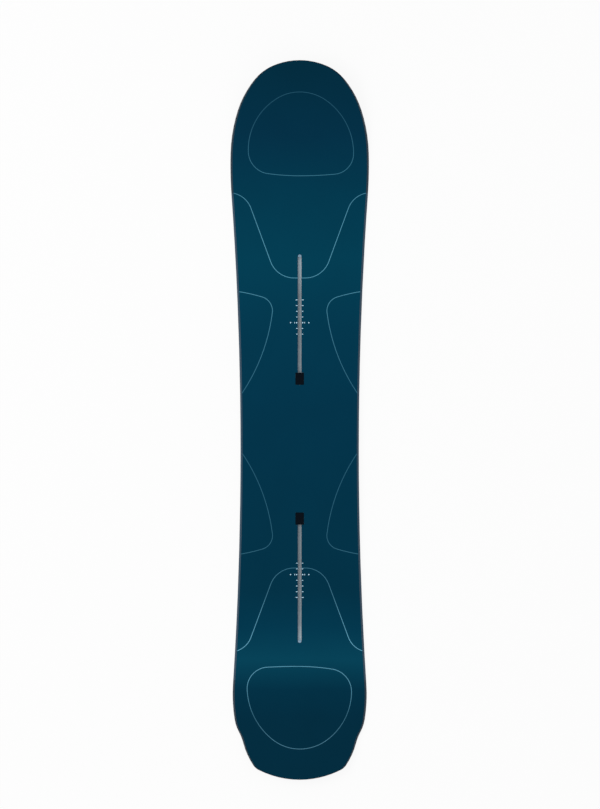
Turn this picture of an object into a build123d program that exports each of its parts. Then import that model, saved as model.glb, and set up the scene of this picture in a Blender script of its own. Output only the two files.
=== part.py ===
from build123d import *
import os
from math import asin, cos, degrees, radians, sin, sqrt

# A directional snowboard with two binding channels, built up as the laminate that it is.
# Frame: X across the board, Y along it with the nose at +Y, Z up with the deck on top.
# The origin is at mid length on the ground that the unloaded board stands on. Millimetres and degrees.

os.makedirs("parts", exist_ok=True)

# ---- Plan shape ----
board_length = 1600.0
waist_width = 263.4
waist_y = -68.0
sidecut_radius = 8036.0
nose_length = 300.0
tail_length = 213.0
# The ends are chains of tangent arcs. A heading is the turn from the board's long axis towards its
# centreline, and the two radii left as None are worked out so that the chain closes on the centreline.
nose_headings = (1.6, 18.0, 40.0, 67.0, 90.0)
nose_radii = (960.0, None, 208.0, 106.0, None)
tail_headings = (9.0, 28.4, 14.7, 33.9, 63.2, 90.0)
tail_radii = (None, 83.0, 116.0, 162.0, 31.5, None)

# ---- Side profile ----
camber_height = 5.0
# The board is straight under each foot, from this far towards mid board to this far towards its end.
flat_inner_reach = 157.0
flat_outer_reach = 176.0
nose_early_rise_radius = 5200.0
nose_early_rise_heading = 0.9
nose_kick_radius = 700.0
tail_early_rise_radius = 4000.0
tail_early_rise_heading = 0.9
tail_kick_radius = 720.0

# ---- Laminate, from the snow up ----
base_thickness = 1.3
edge_height = 1.9
edge_width = 2.0
edge_flange_reach = 5.5
edge_tooth_pitch = 20.0
edge_tooth_gap = 6.0
edge_tooth_gap_depth = 8.0
edge_foil_thickness = 0.25
edge_foil_inset = 0.3
glass_thickness = 0.7
glass_inset = 0.4
topsheet_thickness = 0.5
board_thickness = 10.0
tip_thickness = 4.8

# ---- Sidewalls, fillers and core ----
sidewall_inset = 0.5
nose_to_sidewall = 295.0
tail_to_sidewall = 222.0
sidewall_bevel_width = 3.6
sidewall_bevel_height = 4.2
# The bevel is cut on a longer blank, which is then cut to the sidewall's length.
sidewall_blank_excess = 15.0
filler_bevel = 0.45
deck_step = 0.15
core_center_width = 52.0
core_stringer_width = 12.0

# ---- Binding channels ----
nose_to_stance = 583.3
tail_to_stance = 456.3
channel_outer_reach = 152.0
channel_mouth_width = 8.2
channel_undercut_width = 13.6
rail_floor = 1.0
rail_lip = 1.8
rail_wall = 2.5
rail_flange_reach = 5.0
rail_flange_thickness = 1.2
mat_thickness = 0.5
mat_reach = 8.0

# ---- Channel plugs and end stops ----
plug_outer_reach = 111.2
plug_width = 18.4
plug_length = 26.7
plug_clearance = 0.3
plug_corner_radius = 1.2
plug_wall = 1.8
plug_top = 1.8
plug_recess = 0.3
plug_edge_chamfer = 0.4
plug_notch_width = 8.0
plug_notch_length = 2.5
plug_notch_depth = 1.0
plug_rib_thickness = 1.5
end_stop_length = 5.5
end_stop_side_gap = 0.2
end_stop_recess = 0.5

# ---- Worked out from the above ----
half_length = board_length / 2
sidecut_nose_y = half_length - nose_length
sidecut_tail_y = tail_length - half_length
sidewall_nose_y = half_length - nose_to_sidewall
sidewall_tail_y = tail_to_sidewall - half_length
front_stance_y = half_length - nose_to_stance
rear_stance_y = tail_to_stance - half_length
camber_center_y = (front_stance_y + rear_stance_y) / 2
camber_run = (front_stance_y - rear_stance_y) / 2 - flat_inner_reach
flat_run = flat_inner_reach + flat_outer_reach
# Side views are drawn a little past both tips and extruded over more than the board's width.
profile_margin = 12.0
half_span = waist_width
prism_height = board_length
glass_border_bottom = edge_height + edge_foil_thickness
glass_border_top = glass_border_bottom + glass_thickness
glass_middle_top = base_thickness + glass_thickness
flange_inset = edge_width + edge_flange_reach
core_inset = flange_inset + glass_thickness
core_top_depth = topsheet_thickness + glass_thickness
glass_side_inset = sidewall_inset + sidewall_bevel_width + deck_step
glass_end_inset = sidewall_inset + filler_bevel + deck_step
topsheet_side_inset = glass_side_inset + deck_step
topsheet_end_inset = glass_end_inset + deck_step
mat_top = glass_middle_top + mat_thickness
rail_floor_top = mat_top + rail_floor
rail_lip_bottom_depth = core_top_depth + rail_lip
hatch_width = plug_width + 2 * plug_clearance
hatch_outer_end = -plug_outer_reach + plug_clearance
hatch_inner_end = -plug_outer_reach - plug_length - plug_clearance
rail_body_width = hatch_width + 2 * rail_wall
rail_inner_end = hatch_inner_end - rail_wall


def closing_radii(headings, radii, inward, forward):
    """Radii of a chain of tangent arcs, with the two open ones solved for its end point."""
    known_inward, known_forward, open_arcs = inward, forward, []
    filled = list(radii)
    for i, radius in enumerate(radii):
        start, end = radians(headings[i]), radians(headings[i + 1])
        turn = 1 if end > start else -1
        step_inward = turn * (cos(start) - cos(end))
        step_forward = turn * (sin(end) - sin(start))
        if radius is None:
            open_arcs.append((i, step_inward, step_forward))
        else:
            known_inward -= radius * step_inward
            known_forward -= radius * step_forward
    (i, a, c), (j, b, d) = open_arcs
    determinant = a * d - b * c
    filled[i] = (known_inward * d - known_forward * b) / determinant
    filled[j] = (known_forward * a - known_inward * c) / determinant
    return filled


def inset_radii(headings, radii, inset):
    """The named radii of a chain drawn this far inside the outline: a hollow arc grows."""
    changed = []
    for i, radius in enumerate(radii):
        hollow = headings[i + 1] < headings[i]
        changed.append(None if radius is None else radius + (inset if hollow else -inset))
    return changed


def board_outline(side_inset, nose_inset=None, tail_inset=None):
    """Plan outline of the board, moved inwards by these amounts at its sides and its two tips."""
    nose_inset = side_inset if nose_inset is None else nose_inset
    tail_inset = side_inset if tail_inset is None else tail_inset
    radius = sidecut_radius + side_inset
    center_x = waist_width / 2 + sidecut_radius
    nose_heading = -degrees(asin((sidecut_nose_y - waist_y) / sidecut_radius))
    tail_heading = -degrees(asin((waist_y - sidecut_tail_y) / sidecut_radius))
    nose_start = (
        center_x - radius * cos(radians(nose_heading)),
        waist_y - radius * sin(radians(nose_heading)),
    )
    tail_start = (
        center_x - radius * cos(radians(tail_heading)),
        waist_y + radius * sin(radians(tail_heading)),
    )
    ends = (
        (nose_start, 1, nose_heading, nose_headings, nose_radii, nose_inset),
        (tail_start, -1, tail_heading, tail_headings, tail_radii, tail_inset),
    )
    with BuildSketch() as outline:
        with BuildLine():
            RadiusArc(tail_start, nose_start, radius)
            for start, way, heading, later_headings, radii, tip_inset in ends:
                headings = (heading, *later_headings)
                named = inset_radii(headings, radii, side_inset)
                reach = half_length - tip_inset - way * start[1]
                filled = closing_radii(headings, named, start[0], reach)
                point = Vector(*start)
                tangent = Vector(-sin(radians(heading)), way * cos(radians(heading)))
                for i, arc_radius in enumerate(filled):
                    turn = headings[i + 1] - headings[i]
                    arc = JernArc(point, tangent, arc_radius, way * turn)
                    point, tangent = arc @ 1, arc % 1
            mirror(about=Plane.YZ)
        make_face()
    return outline.sketch


def flat_heading(rise_radius):
    """Slope of the flat under a foot, in radians, that puts the board's low point on the ground."""
    run = camber_run / 2 + flat_run
    return (sqrt(run * run + 2 * rise_radius * camber_height) - run) / rise_radius


def end_profile(rise_radius, rise_heading, kick_radius, reach):
    """One end of the running surface: camber arc, flat, early rise and kick, as radii and headings."""
    slope = degrees(flat_heading(rise_radius))
    camber_radius = camber_run / sin(radians(slope))
    flat_length = flat_run / cos(radians(slope))
    rise_run = rise_radius * (sin(radians(rise_heading)) + sin(radians(slope)))
    kick_run = reach - camber_run - flat_run - rise_run
    kick_heading = degrees(asin(sin(radians(rise_heading)) + kick_run / kick_radius))
    return slope, camber_radius, flat_length, rise_radius, rise_heading, kick_radius, kick_heading


nose_profile = end_profile(
    nose_early_rise_radius,
    nose_early_rise_heading,
    nose_kick_radius,
    half_length + profile_margin - camber_center_y,
)
tail_profile = end_profile(
    tail_early_rise_radius,
    tail_early_rise_heading,
    tail_kick_radius,
    half_length + profile_margin + camber_center_y,
)


def thickness_at(share):
    """Board thickness at this share of the way from the end of the flat to the tip."""
    return board_thickness + (tip_thickness - board_thickness) * share * share * (3 - 2 * share)


def deck_points(start, way, profile, height):
    """Points of a line that keeps a height under the tapering deck, from the flat's end to the tip."""
    slope, _, _, rise_radius, rise_heading, kick_radius, kick_heading = profile
    rise_headings = [rise_heading * i / 2 - slope * (2 - i) / 2 for i in range(3)]
    kick_headings = [rise_heading + (kick_heading - rise_heading) * i / 4 for i in range(1, 5)]
    stations = []
    y, z = start
    before = -slope
    for heading in rise_headings[1:] + kick_headings:
        radius = rise_radius if heading <= rise_heading else kick_radius
        y += way * radius * (sin(radians(heading)) - sin(radians(before)))
        z += radius * (cos(radians(before)) - cos(radians(heading)))
        before = heading
        stations.append((y, z, heading))
    length = abs(y - start[0])
    points = []
    for y, z, heading in stations:
        lift = thickness_at(abs(y - start[0]) / length) - board_thickness + height
        points.append((y - way * lift * sin(radians(heading)), z + lift * cos(radians(heading))))
    return points


def profile_line(height, follows_deck):
    """A line along the board, seen from its side, this high above the running surface at mid board.

    It runs parallel to the running surface, or at its ends follows the tapering deck.
    """
    apex = (camber_center_y, camber_height + height)
    with BuildLine() as line:
        for way, profile in ((1, nose_profile), (-1, tail_profile)):
            slope, camber_radius, flat, rise_radius, rise_heading, kick_radius, kick_heading = profile
            camber = JernArc(apex, (way, 0), camber_radius + height, -way * slope)
            foot = Line(camber @ 1, camber @ 1 + (camber % 1) * flat)
            if follows_deck:
                drop = Vector(way * height * sin(radians(slope)), height * cos(radians(slope)))
                base_end = foot @ 1 - drop
                points = deck_points((base_end.X, base_end.Y), way, profile, height)
                end_tangent = (way * cos(radians(kick_heading)), sin(radians(kick_heading)))
                Spline(foot @ 1, *points, tangents=[foot % 1, end_tangent])
            else:
                rise = JernArc(foot @ 1, foot % 1, rise_radius - height, way * (slope + rise_heading))
                JernArc(rise @ 1, rise % 1, kick_radius - height, way * (kick_heading - rise_heading))
    return line.line


def above_base(height):
    """A line parallel to the running surface."""
    return profile_line(height, False)


def below_deck(depth):
    """A line parallel to the deck."""
    return profile_line(board_thickness - depth, True)


def below_flat_deck(depth):
    """A line parallel to the deck where the board has its full thickness, as at the channels."""
    return above_base(board_thickness - depth)


def layer_profile(lower, upper):
    """Side view of a layer between two profile lines, on a plane to the left of the board."""
    ends = []
    for way in (1, -1):
        low = sorted(lower.vertices(), key=lambda v: way * v.X)[-1]
        high = sorted(upper.vertices(), key=lambda v: way * v.X)[-1]
        ends.append(((low.X, low.Y), (high.X, high.Y)))
    with BuildSketch(Plane.YZ.offset(-half_span)) as side:
        with BuildLine():
            add(lower)
            add(upper)
            for low, high in ends:
                Line(low, high)
        make_face()
    return side.sketch


def core_span(excess=0.0):
    """Plan of the stretch between the ends of the sidewalls, where the wood core lies, or of a longer one."""
    with BuildSketch() as span:
        with Locations((0, (sidewall_nose_y + sidewall_tail_y) / 2)):
            Rectangle(2 * half_span, sidewall_nose_y - sidewall_tail_y + 2 * excess)
    return span.sketch


def strip_plan(inner_x, outer_x):
    """Plan of a strip of the core between two distances from the centreline, on the right."""
    with BuildSketch() as strip:
        with Locations(((inner_x + outer_x) / 2, (sidewall_nose_y + sidewall_tail_y) / 2)):
            Rectangle(outer_x - inner_x, sidewall_nose_y - sidewall_tail_y)
    return strip.sketch


def layer(side, *plans, holes=()):
    """A layer with this side view and the plan that all these plans share, with holes through it."""
    with BuildPart() as sheet:
        extrude(side, amount=2 * half_span)
        for plan in plans:
            extrude(plan, amount=prism_height, both=True, mode=Mode.INTERSECT)
        for plan in holes:
            extrude(plan, amount=prism_height, both=True, mode=Mode.SUBTRACT)
    return sheet.part


def top_edges(part, walls):
    """The edges in which walls of a part meet the part's upper faces."""
    upper = part.faces().filter_by(lambda face: face.normal_at().Z > 0.5).edges()
    return ShapeList([edge for edge in walls.edges() if edge in upper])


def upright_faces(part):
    """The walls of a part that stand straight up, the smallest first."""
    return part.faces().filter_by(lambda face: abs(face.normal_at().Z) < 0.001).sort_by(SortBy.AREA)


def slot_plan(place, width, inner_end):
    """Plan of a straight slot from its square inner end to its round outer end."""
    arc_y = channel_outer_reach - channel_mouth_width / 2
    with BuildSketch(place) as slot:
        with Locations((0, (arc_y + inner_end) / 2)):
            Rectangle(width, arc_y - inner_end)
        with Locations((0, arc_y)):
            Circle(width / 2)
    return slot.sketch


def hatch_plan(place, clearance):
    """Plan of the plug's hatch, this much larger all round than the plug."""
    with BuildSketch(place) as hatch:
        with Locations((0, -plug_outer_reach - plug_length / 2)):
            RectangleRounded(
                plug_width + 2 * clearance, plug_length + 2 * clearance, plug_corner_radius + clearance
            )
    return hatch.sketch


def end_stop_plan(place):
    """Plan of the stop that fills the round outer end of a channel's mouth."""
    arc_y = channel_outer_reach - channel_mouth_width / 2
    radius = channel_mouth_width / 2 - end_stop_side_gap
    with BuildSketch(place) as stop:
        with Locations((0, arc_y)):
            Circle(radius)
        with Locations((0, arc_y - radius / 2)):
            Rectangle(2 * radius, radius)
        with Locations((0, arc_y + radius - end_stop_length / 2)):
            Rectangle(2 * radius, end_stop_length, mode=Mode.INTERSECT)
    return stop.sketch


def plug_hollow_plan(place):
    """Plan of the two pockets under the plug's top, either side of its cross rib."""
    pocket_length = (plug_length - 2 * plug_wall - plug_rib_thickness) / 2
    with BuildSketch(place) as pockets:
        with Locations((0, -plug_outer_reach - plug_length / 2)):
            with GridLocations(0, pocket_length + plug_rib_thickness, 1, 2):
                Rectangle(plug_width - 2 * plug_wall, pocket_length)
    return pockets.sketch


def plug_notch_plan(place):
    """Plan of the notch at the plug's outer end that a blade lifts it by."""
    with BuildSketch(place) as notch:
        with Locations((0, -plug_outer_reach - plug_notch_length / 2)):
            Rectangle(plug_notch_width, plug_notch_length)
    return notch.sketch


def channel_opening(place):
    """Plan of what is open in the deck over a channel: its mouth and its hatch."""
    with BuildSketch(Plane.XY) as opening:
        add(slot_plan(place, channel_mouth_width, hatch_outer_end))
        add(hatch_plan(place, plug_clearance))
    return opening.sketch


# ---- Side views of the layers ----
base_side = layer_profile(above_base(0), above_base(base_thickness))
edge_side = layer_profile(above_base(0), above_base(edge_height))
flange_side = layer_profile(above_base(base_thickness), above_base(edge_height))
foil_side = layer_profile(above_base(edge_height), above_base(glass_border_bottom))
glass_middle_side = layer_profile(above_base(base_thickness), above_base(glass_middle_top))
glass_step_side = layer_profile(above_base(base_thickness), above_base(glass_border_top))
glass_border_side = layer_profile(above_base(glass_border_bottom), above_base(glass_border_top))
core_side = layer_profile(above_base(glass_middle_top), below_deck(core_top_depth))
rim_side = layer_profile(above_base(glass_border_top), below_deck(core_top_depth))
upper_glass_side = layer_profile(below_deck(core_top_depth), below_deck(topsheet_thickness))
topsheet_side = layer_profile(below_deck(topsheet_thickness), below_deck(0))

# ---- Plans of the layers ----
board_plan = board_outline(0)
base_plan = board_outline(edge_width)
flange_plan = board_outline(flange_inset)
core_plan = board_outline(core_inset)
rim_plan = board_outline(sidewall_inset)
upper_glass_plan = board_outline(glass_side_inset, glass_end_inset, glass_end_inset)
topsheet_plan = board_outline(topsheet_side_inset, topsheet_end_inset, topsheet_end_inset)
core_span_plan = core_span()

channel_places = {
    "front": Plane((0, front_stance_y, 0), x_dir=(1, 0, 0)),
    "rear": Plane((0, rear_stance_y, 0), x_dir=(-1, 0, 0)),
}
deck_openings = [channel_opening(place) for place in channel_places.values()]
sides = {"left": Keep.BOTTOM, "right": Keep.TOP}

# ---- Base sheet ----
with BuildPart() as base_sheet:
    extrude(base_side, amount=2 * half_span)
    extrude(base_plan, amount=prism_height, both=True, mode=Mode.INTERSECT)
base_sheet.part.label = "base_sheet"
export_step(base_sheet.part, "parts/base_sheet.step")

# ---- Steel edges: a square outer bead and a toothed flange that reaches in over the base ----
tooth_path = board_outline(edge_width + edge_flange_reach / 2).wire()
tooth_count = round(tooth_path.length / edge_tooth_pitch / 2) * 2
with BuildSketch() as tooth_gaps:
    for i in range(tooth_count):
        share = (i + 0.5) / tooth_count
        spot = tooth_path.position_at(share)
        heading = tooth_path.tangent_at(share)
        with Locations(Plane((spot.X, spot.Y, 0), x_dir=(heading.X, heading.Y, 0))):
            Rectangle(edge_tooth_gap, edge_tooth_gap_depth)
edge_bead = layer(edge_side, board_plan, holes=[base_plan])
edge_flange = layer(flange_side, base_plan, holes=[flange_plan, tooth_gaps.sketch])
for side, keep in sides.items():
    with BuildPart() as edge:
        add(edge_bead)
        add(edge_flange)
        split(bisect_by=Plane.YZ, keep=keep)
    edge.part.label = f"edge_{side}"
    export_step(edge.part, f"parts/edge_{side}.step")

# ---- Damping foils on the edges ----
edge_foil = layer(foil_side, board_outline(edge_foil_inset), holes=[flange_plan])
for side, keep in sides.items():
    with BuildPart() as foil:
        add(edge_foil)
        split(bisect_by=Plane.YZ, keep=keep)
    foil.part.label = f"edge_foil_{side}"
    export_step(foil.part, f"parts/edge_foil_{side}.step")

# ---- Lower glass, stepped up over the flanges ----
glass_middle = layer(glass_middle_side, flange_plan)
glass_step = layer(glass_step_side, flange_plan, holes=[core_plan])
glass_border = layer(glass_border_side, board_outline(glass_inset), holes=[flange_plan])
with BuildPart() as lower_glass:
    add(glass_middle)
    add(glass_step)
    add(glass_border)
lower_glass.part.label = "lower_glass"
export_step(lower_glass.part, "parts/lower_glass.step")

# ---- Channel rails, their mats, plugs and end stops ----
mat_side = layer_profile(above_base(glass_middle_top), above_base(mat_top))
rail_side = layer_profile(above_base(mat_top), below_flat_deck(core_top_depth))
rail_flange_side = layer_profile(
    below_flat_deck(core_top_depth + rail_flange_thickness), below_flat_deck(core_top_depth)
)
undercut_side = layer_profile(above_base(rail_floor_top), below_flat_deck(rail_lip_bottom_depth))
open_side = layer_profile(above_base(rail_floor_top), below_flat_deck(0))
plug_side = layer_profile(above_base(rail_floor_top + plug_clearance), below_flat_deck(plug_recess))
plug_hollow_side = layer_profile(above_base(rail_floor_top), below_flat_deck(plug_recess + plug_top))
plug_notch_side = layer_profile(below_flat_deck(plug_recess + plug_notch_depth), below_flat_deck(0))
end_stop_side = layer_profile(above_base(rail_floor_top), below_flat_deck(end_stop_recess))
core_cuts = []
for channel, place in channel_places.items():
    mat_plan = slot_plan(place, rail_body_width + 2 * mat_reach, rail_inner_end - mat_reach)
    body_plan = slot_plan(place, rail_body_width, rail_inner_end)
    rail_flange_plan = slot_plan(
        place, rail_body_width + 2 * rail_flange_reach, rail_inner_end - rail_flange_reach
    )
    with BuildPart() as mat:
        add(layer(mat_side, mat_plan))
    mat.part.label = f"{channel}_channel_mat"
    export_step(mat.part, f"parts/{channel}_channel_mat.step")

    with BuildPart() as rail_blank:
        add(layer(rail_side, body_plan))
        add(layer(rail_flange_side, rail_flange_plan))
    core_cuts += [mat.part, rail_blank.part]

    undercut = layer(undercut_side, slot_plan(place, channel_undercut_width, hatch_outer_end))
    mouth = layer(open_side, channel_opening(place))
    with BuildPart() as rail:
        add(rail_blank.part)
        add(undercut, mode=Mode.SUBTRACT)
        add(mouth, mode=Mode.SUBTRACT)
    rail.part.label = f"{channel}_channel_rail"
    export_step(rail.part, f"parts/{channel}_channel_rail.step")

    with BuildPart() as end_stop:
        add(layer(end_stop_side, end_stop_plan(place)))
    end_stop.part.label = f"{channel}_channel_end_stop"
    export_step(end_stop.part, f"parts/{channel}_channel_end_stop.step")

    plug_block = layer(plug_side, hatch_plan(place, 0))
    plug_hollow = layer(plug_hollow_side, plug_hollow_plan(place))
    plug_notch = layer(plug_notch_side, plug_notch_plan(place))
    with BuildPart() as plug:
        add(plug_block)
        chamfer(plug.faces().sort_by(Axis.Z)[-1].edges(), length=plug_edge_chamfer)
        add(plug_hollow, mode=Mode.SUBTRACT)
        add(plug_notch, mode=Mode.SUBTRACT)
    plug.part.label = f"{channel}_channel_plug"
    export_step(plug.part, f"parts/{channel}_channel_plug.step")

# ---- Wood core: a centre lamella that takes the channels, stringers beside it and outer fields ----
core_blank = layer(core_side, core_plan, core_span_plan)
stringer_inner = core_center_width / 2
stringer_outer = stringer_inner + core_stringer_width
with BuildPart() as core_center:
    add(core_blank)
    with BuildSketch():
        add(strip_plan(-stringer_inner, stringer_inner))
    extrude(amount=prism_height, both=True, mode=Mode.INTERSECT)
    for cut in core_cuts:
        add(cut, mode=Mode.SUBTRACT)
core_center.part.label = "core_center"
export_step(core_center.part, "parts/core_center.step")
for side, way in (("left", -1), ("right", 1)):
    for strip, inner_x, outer_x in (
        ("stringer", stringer_inner, stringer_outer),
        ("field", stringer_outer, half_span),
    ):
        with BuildPart() as core_strip:
            add(core_blank)
            with BuildSketch():
                add(strip_plan(way * inner_x, way * outer_x))
            extrude(amount=prism_height, both=True, mode=Mode.INTERSECT)
        core_strip.part.label = f"core_{strip}_{side}"
        export_step(core_strip.part, f"parts/core_{strip}_{side}.step")

# ---- Sidewalls with their sloping outer face ----
sidewall_blanks = layer(rim_side, rim_plan, core_span(sidewall_blank_excess), holes=[core_plan])
for side, keep in sides.items():
    with BuildPart() as sidewall:
        add(sidewall_blanks)
        split(bisect_by=Plane.YZ, keep=keep)
        outer_wall = upright_faces(sidewall.part)[-2:].sort_by(lambda face: abs(face.center().X))[-1]
        chamfer(
            top_edges(sidewall.part, outer_wall),
            length=sidewall_bevel_height,
            length2=sidewall_bevel_width,
            reference=outer_wall,
        )
        extrude(core_span_plan, amount=prism_height, both=True, mode=Mode.INTERSECT)
    sidewall.part.label = f"sidewall_{side}"
    export_step(sidewall.part, f"parts/sidewall_{side}.step")

# ---- Fillers that carry the laminate round the nose and the tail ----
beyond_core = layer(core_side, core_plan, holes=[core_span_plan])
rim_beyond_core = layer(rim_side, rim_plan, holes=[core_plan, core_span_plan])
for end, keep in (("nose", Keep.BOTTOM), ("tail", Keep.TOP)):
    with BuildPart() as filler:
        add(beyond_core)
        add(rim_beyond_core)
        split(bisect_by=Plane.XZ, keep=keep)
        round_walls = upright_faces(filler.part).filter_by(GeomType.CYLINDER)
        chamfer(top_edges(filler.part, round_walls), length=filler_bevel)
    filler.part.label = f"{end}_filler"
    export_step(filler.part, f"parts/{end}_filler.step")

# ---- Upper glass and topsheet, open over the channels ----
with BuildPart() as upper_glass:
    add(layer(upper_glass_side, upper_glass_plan, holes=deck_openings))
upper_glass.part.label = "upper_glass"
export_step(upper_glass.part, "parts/upper_glass.step")

with BuildPart() as topsheet:
    add(layer(topsheet_side, topsheet_plan, holes=deck_openings))
topsheet.part.label = "topsheet"
export_step(topsheet.part, "parts/topsheet.step")
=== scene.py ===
"""Dresses the packed snowboard: its printed deck, running surface, rim, channels and studio."""
import logging
import math
from collections.abc import Iterable
from dataclasses import dataclass
from enum import Enum, IntEnum
from functools import cached_property
from itertools import pairwise

import bmesh
import bpy
import numpy as np
from mathutils import Matrix, Vector


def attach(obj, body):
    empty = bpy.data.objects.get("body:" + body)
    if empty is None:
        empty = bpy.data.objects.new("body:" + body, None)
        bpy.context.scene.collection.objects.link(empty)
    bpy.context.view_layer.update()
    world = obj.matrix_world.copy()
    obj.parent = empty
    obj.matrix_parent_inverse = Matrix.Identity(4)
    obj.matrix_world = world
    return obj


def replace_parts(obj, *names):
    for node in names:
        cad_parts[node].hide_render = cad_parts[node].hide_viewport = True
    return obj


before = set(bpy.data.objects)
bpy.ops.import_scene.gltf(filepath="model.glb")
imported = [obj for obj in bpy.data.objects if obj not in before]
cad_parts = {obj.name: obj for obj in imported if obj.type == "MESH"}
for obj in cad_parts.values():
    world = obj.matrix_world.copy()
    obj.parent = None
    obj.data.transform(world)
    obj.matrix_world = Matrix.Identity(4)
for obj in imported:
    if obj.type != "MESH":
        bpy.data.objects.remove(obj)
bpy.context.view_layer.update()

Colour = tuple[float, float, float, float]
Bands = tuple[tuple[float, Colour], ...]
Pair = tuple[float, float]
Socket = bpy.types.NodeSocket
Value = Socket | float | tuple[float, ...]
Mesh = bmesh.types.BMesh
Point = bmesh.types.BMVert
Edge = bmesh.types.BMEdge
Element = Point | Edge | bmesh.types.BMFace

LOG = logging.getLogger("snowboard")
ACROSS, ALONG, UP = Vector((1, 0, 0)), Vector((0, 1, 0)), Vector((0, 0, 1))
# Faces that meet at more than this angle show an edge.
SHARP_ANGLE = math.radians(25)
# A point this near a plane lies on it.
ON_PLANE = 1e-6


class Way(IntEnum):
    """The end of the board that something lies towards, as a factor on Y."""

    NOSE = 1
    TAIL = -1


# ---- Colours and finishes ----


def shade(red: int, green: int, blue: int) -> Colour:
    """A screen colour as the linear colour that a shader takes.

    Args:
        red, green, blue: screen values from 0 to 255.

    Returns:
        Linear red, green and blue, and full opacity.
    """
    values = [channel / 255 for channel in (red, green, blue)]
    # The screen curve is straight at its foot and a power above it.
    linear = [v / 12.92 if v <= 0.04045 else ((v + 0.055) / 1.055) ** 2.4 for v in values]
    return (*linear, 1.0)


def grey(level: float) -> Colour:
    """A grey of this linear level."""
    return (level, level, level, 1.0)


class Direction(Enum):
    """Which way a finish's marks run, as the scale of its pattern along each axis."""

    LENGTHWISE = (1.0, 0.03, 1.0)
    GRAIN = (1.0, 0.05, 1.0)
    NONE = (1.0, 1.0, 1.0)


class Nodes:
    """A node tree, with short calls that add nodes to it."""

    def __init__(self, tree: bpy.types.NodeTree) -> None:
        """Work on this tree."""
        self.tree = tree

    def feed(self, inlet: Socket, value: Value) -> None:
        """Join an input to another node's output, or give it a value of its own.

        Args:
            inlet: the input.
            value: the output or the value.
        """
        if isinstance(value, Socket):
            self.tree.links.new(value, inlet)
        else:
            inlet.default_value = value

    def add(
        self, kind: str, inputs: dict[str | int, Value] | None = None, **settings: object
    ) -> bpy.types.Node:
        """Add a node.

        Args:
            kind: Blender's name for this kind of node.
            inputs: what its inputs get, by their names or numbers.
            settings: its own settings, which come before its inputs.

        Returns:
            The node.
        """
        node = self.tree.nodes.new(kind)
        for key, value in settings.items():
            setattr(node, key, value)
        for key, value in (inputs or {}).items():
            self.feed(node.inputs[key], value)
        return node

    def combined(self, operation: str, first: Socket, second: Socket | float) -> Socket:
        """Two values brought together by one of the Math node's operations."""
        return self.add("ShaderNodeMath", {0: first, 1: second}, operation=operation).outputs["Value"]


class Coat(Nodes):
    """A new material's node tree, with short calls for the patterns that the finishes share."""

    MOTTLE_SPAN = (0.25, 0.75)

    def __init__(self, name: str) -> None:
        """Start a material with one principled shader.

        Args:
            name: the material's name.
        """
        self.material = bpy.data.materials.new(name)
        self.material.use_nodes = True
        super().__init__(self.material.node_tree)
        self.shader = self.tree.nodes["Principled BSDF"]
        self.coordinates = self.add("ShaderNodeTexCoord").outputs["Object"]

    def placed(self, way: Direction) -> Socket:
        """Object coordinates, drawn out in a direction."""
        inputs = {"Vector": self.coordinates, "Scale": way.value}
        return self.add("ShaderNodeMapping", inputs).outputs["Vector"]

    def noise(self, scale: float, detail: float = 2.0, way: Direction = Direction.NONE) -> Socket:
        """Soft noise from 0 to 1: features per metre, finer layers, and which way it is drawn out."""
        inputs = {"Vector": self.placed(way), "Scale": scale, "Detail": detail}
        return self.add("ShaderNodeTexNoise", inputs).outputs["Fac"]

    def stripes(self, spacing: float, across: str, vector: Socket, **others: float) -> Socket:
        """Parallel stripes, as a wave from 0 to 1.

        Args:
            spacing: the distance in metres from one stripe to the next.
            across: the axis that the stripes follow each other along.
            vector: the coordinates that they are drawn on.
            others: the wave's other inputs.

        Returns:
            The wave's value.
        """
        inputs = {"Vector": vector, "Scale": 1 / spacing / math.tau, **others}
        wave = self.add("ShaderNodeTexWave", inputs, wave_type="BANDS", bands_direction=across)
        return wave.outputs["Fac"]

    def ramp(self, value: Socket, stops: Bands) -> Socket:
        """A colour that changes through stops as a value goes from 0 to 1.

        Args:
            value: the value.
            stops: places from 0 to 1, each with its colour.

        Returns:
            The colour.
        """
        node = self.add("ShaderNodeValToRGB", {"Fac": value})
        elements = node.color_ramp.elements
        while len(elements) < len(stops):
            elements.new(0.5)
        for element, (place, colour) in zip(elements, stops):
            element.position = place
            element.color = colour
        return node.outputs["Color"]

    def mottle(self, colour: Colour, contrast: float, value: Socket) -> Socket:
        """A colour made darker and lighter by a value.

        Args:
            colour: the colour.
            contrast: the share by which it changes each way.
            value: the value, which makes the whole change within the mottle's span.

        Returns:
            The mottled colour.
        """
        dark = (*(c * (1 - contrast) for c in colour[:3]), 1.0)
        light = (*(min(1.0, c * (1 + contrast)) for c in colour[:3]), 1.0)
        return self.ramp(value, tuple(zip(self.MOTTLE_SPAN, (dark, light))))

    def along(self, bands: Bands) -> Socket:
        """A colour that changes along the board.

        Args:
            bands: places along the board from the tail on, each with its colour.

        Returns:
            The colour.
        """
        tail, nose = bands[0][0], bands[-1][0]
        y = self.add("ShaderNodeSeparateXYZ", {"Vector": self.coordinates}).outputs["Y"]
        share = self.add("ShaderNodeMapRange", {"Value": y, "From Min": tail, "From Max": nose})
        stops = tuple(((place - tail) / (nose - tail), colour) for place, colour in bands)
        return self.ramp(share.outputs["Result"], stops)

    def times(self, colour: Socket, other: Socket) -> Socket:
        """One colour multiplied by another.

        Args:
            colour, other: the two colours.

        Returns:
            Their product.
        """
        mix = self.add("ShaderNodeMix", {"Factor": 1.0}, data_type="RGBA", blend_type="MULTIPLY")
        inlets = {inlet.identifier: inlet for inlet in mix.inputs}
        self.feed(inlets["A_Color"], colour)
        self.feed(inlets["B_Color"], other)
        return next(outlet for outlet in mix.outputs if outlet.identifier == "Result_Color")


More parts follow.
